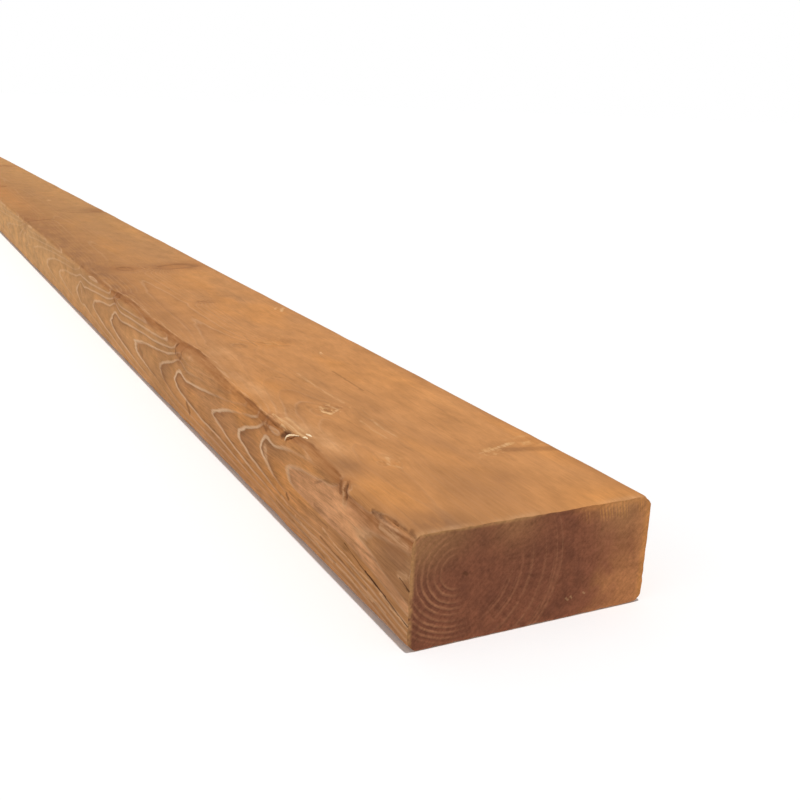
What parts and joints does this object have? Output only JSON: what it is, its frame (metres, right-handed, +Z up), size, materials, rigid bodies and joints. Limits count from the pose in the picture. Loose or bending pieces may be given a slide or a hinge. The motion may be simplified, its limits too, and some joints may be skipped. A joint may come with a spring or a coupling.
{
  "type": "treated two-by-four",
  "caption": "Straight length of brown pressure-treated framing lumber with planed faces, eased long edges and square-sawn ends, for studs, plates, rails and deck framing.",
  "frame": {"origin": "middle of the bottom wide face", "axes": "+X along the length, +Y across the width, +Z up through the thickness"},
  "size_m": [2.4384, 0.0888, 0.0381],
  "materials": {
    "treated_wood": "planed softwood with a brown preservative stain, matt, darker on the end grain"
  },
  "bodies": {
    "root": {"two_by_four": "treated_wood"}
  },
  "joints": []
}
